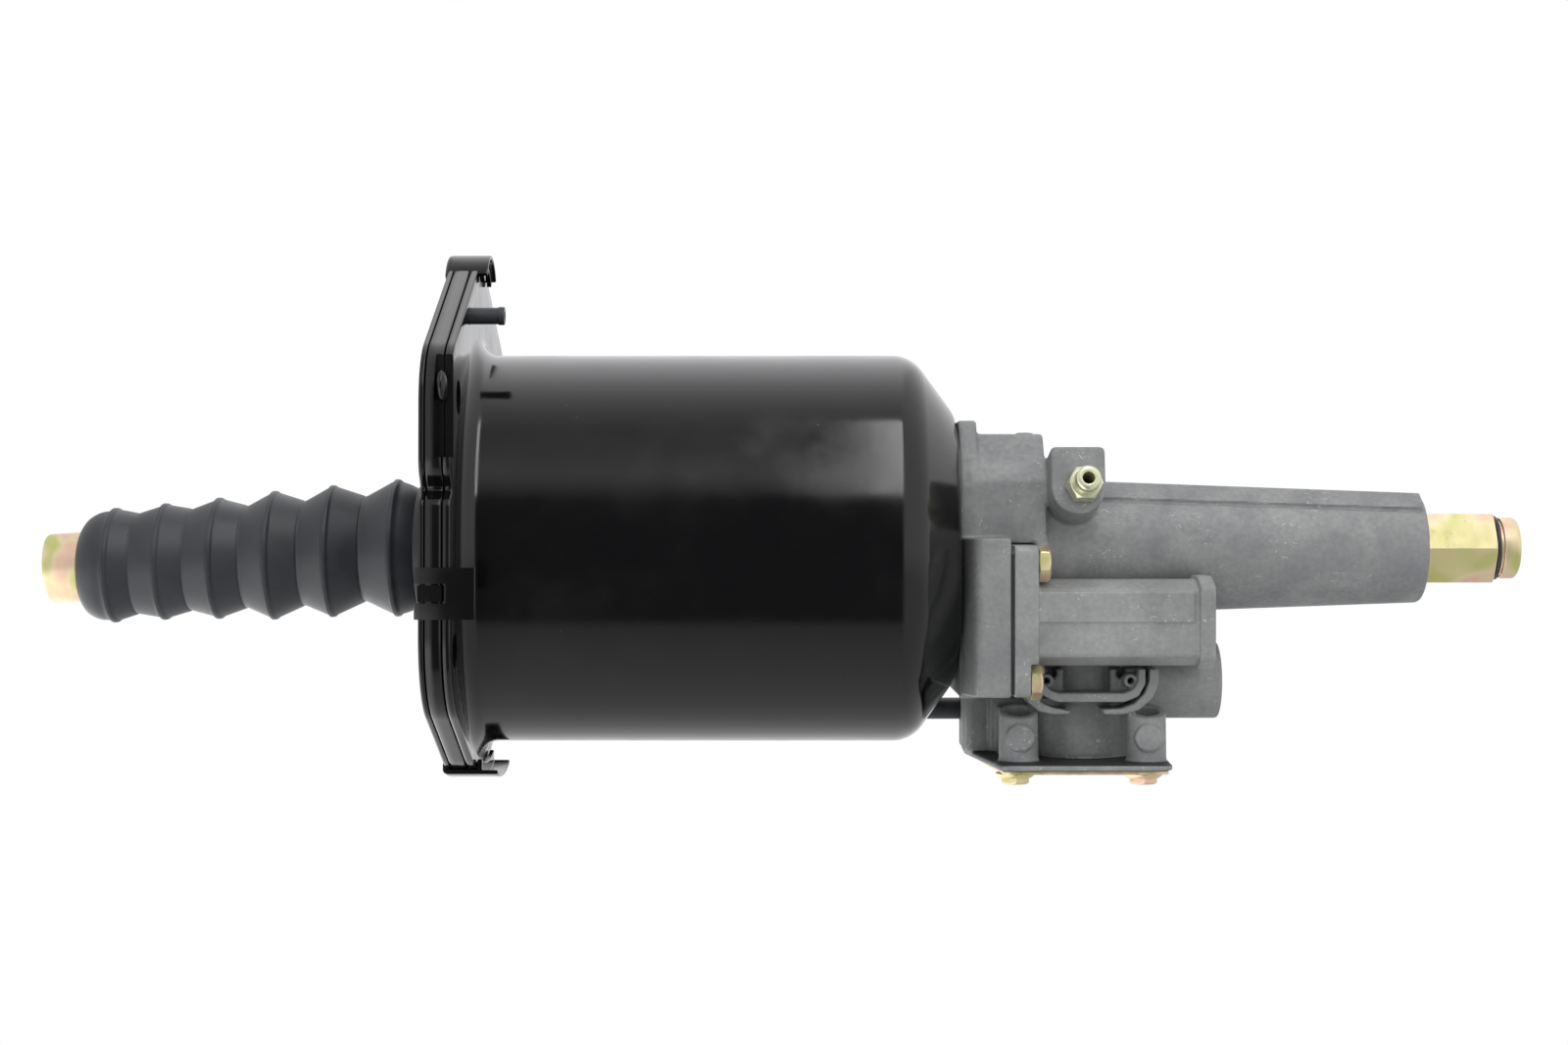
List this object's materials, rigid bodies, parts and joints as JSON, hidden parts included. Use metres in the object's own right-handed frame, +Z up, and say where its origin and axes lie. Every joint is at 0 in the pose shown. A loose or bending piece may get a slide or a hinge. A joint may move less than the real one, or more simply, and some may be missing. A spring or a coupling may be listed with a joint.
{
  "type": "clutch servo",
  "caption": "Air-assisted hydraulic clutch servo: bellows and push rod, black cylinder can, grey casting with bleeder, relay valve housing, ports and base.",
  "frame": {"origin": "centre of the mounting flange's front face, on the cylinder's axis", "axes": "+X along the cylinder's axis from the flange to the fluid inlet, +Z up through the flange's apex, -Y to the bleeder screw"},
  "size_m": [0.4771, 0.1656, 0.1701],
  "materials": {
    "black_paint": "glossy black paint on drawn steel",
    "cast_grey": "shot-blasted casting, matt grey",
    "valve_grey": "shot-blasted casting, lighter grey",
    "yellow_zinc": "yellow chromated zinc plate, slightly iridescent",
    "pale_zinc": "pale green-yellow zinc plate",
    "rubber": "matt black",
    "steel": "machined",
    "spring_steel": "dark spring steel",
    "bronze": "turned bronze",
    "plastic": "off-white guide plastic"
  },
  "bodies": {
    "housing": {"front_cover": "black_paint", "mounting_plate": "black_paint", "can": "black_paint", "clip_top": "black_paint", "clip_bottom": "black_paint", "clip_near": "black_paint", "clip_far": "black_paint", "main_housing": "cast_grey", "valve_housing": "valve_grey", "valve_cap": "valve_grey", "base_plate": "yellow_zinc", "inlet_fitting": "yellow_zinc", "base_bolt_1": "yellow_zinc", "base_bolt_2": "yellow_zinc", "base_bolt_3": "yellow_zinc", "base_bolt_4": "yellow_zinc", "can_bolt_1": "yellow_zinc", "can_bolt_2": "yellow_zinc", "can_bolt_3": "yellow_zinc", "can_bolt_4": "yellow_zinc", "valve_bolt_1": "yellow_zinc", "valve_bolt_2": "yellow_zinc", "valve_bolt_3": "yellow_zinc", "bleeder_screw": "pale_zinc", "bellows": "rubber", "vent_nipple": "rubber", "breather_pipe": "rubber", "plunger_seal": "rubber", "housing_seal": "rubber", "valve_gasket": "rubber", "fitting_seal": "rubber", "piston_spring": "spring_steel", "relay_spring": "spring_steel", "valve_spring": "spring_steel", "seal_retainer": "spring_steel", "cap_circlip": "spring_steel", "snap_ring": "spring_steel", "guide_bush": "bronze"},
    "piston": {"power_piston": "steel", "piston_seal": "rubber", "guide_ring": "plastic", "plunger": "steel", "rod_retainer": "spring_steel"},
    "rod_liner": {"ball_liner": "bronze"},
    "rod": {"push_rod": "yellow_zinc"},
    "relay": {"relay_piston": "steel", "relay_seal": "rubber"},
    "valve": {"valve_disc": "rubber"}
  },
  "joints": [
    {"name": "piston_slide", "type": "slide", "parent": "housing", "child": "piston", "axis": [1, 0, 0], "range_m": [0, 0.07], "stiffness_N_per_m": 400, "springref_m": -0.03, "deforming": ["bellows", "piston_spring"]},
    {"name": "rod_yaw", "type": "hinge", "parent": "piston", "child": "rod_liner", "pos_m": [-0.022, 0, 0], "axis": [0, 0, 1], "range_deg": [-3.5, 3.5], "deforming": ["bellows"]},
    {"name": "rod_swing", "type": "hinge", "parent": "rod_liner", "child": "rod", "pos_m": [-0.022, 0, 0], "axis": [0, 1, 0], "range_deg": [0, 7.1], "deforming": ["bellows"]},
    {"name": "relay_slide", "type": "slide", "parent": "housing", "child": "relay", "axis": [1, 0, 0], "range_m": [0, 0.003], "stiffness_N_per_m": 1500, "springref_m": -0.002, "deforming": ["relay_spring"]},
    {"name": "valve_slide", "type": "slide", "parent": "housing", "child": "valve", "axis": [1, 0, 0], "range_m": [0, 0.003], "deforming": ["valve_spring"]}
  ],
  "couplings": [
    {"joint": "valve_slide", "follows": "relay_slide", "ratio": 1}
  ]
}
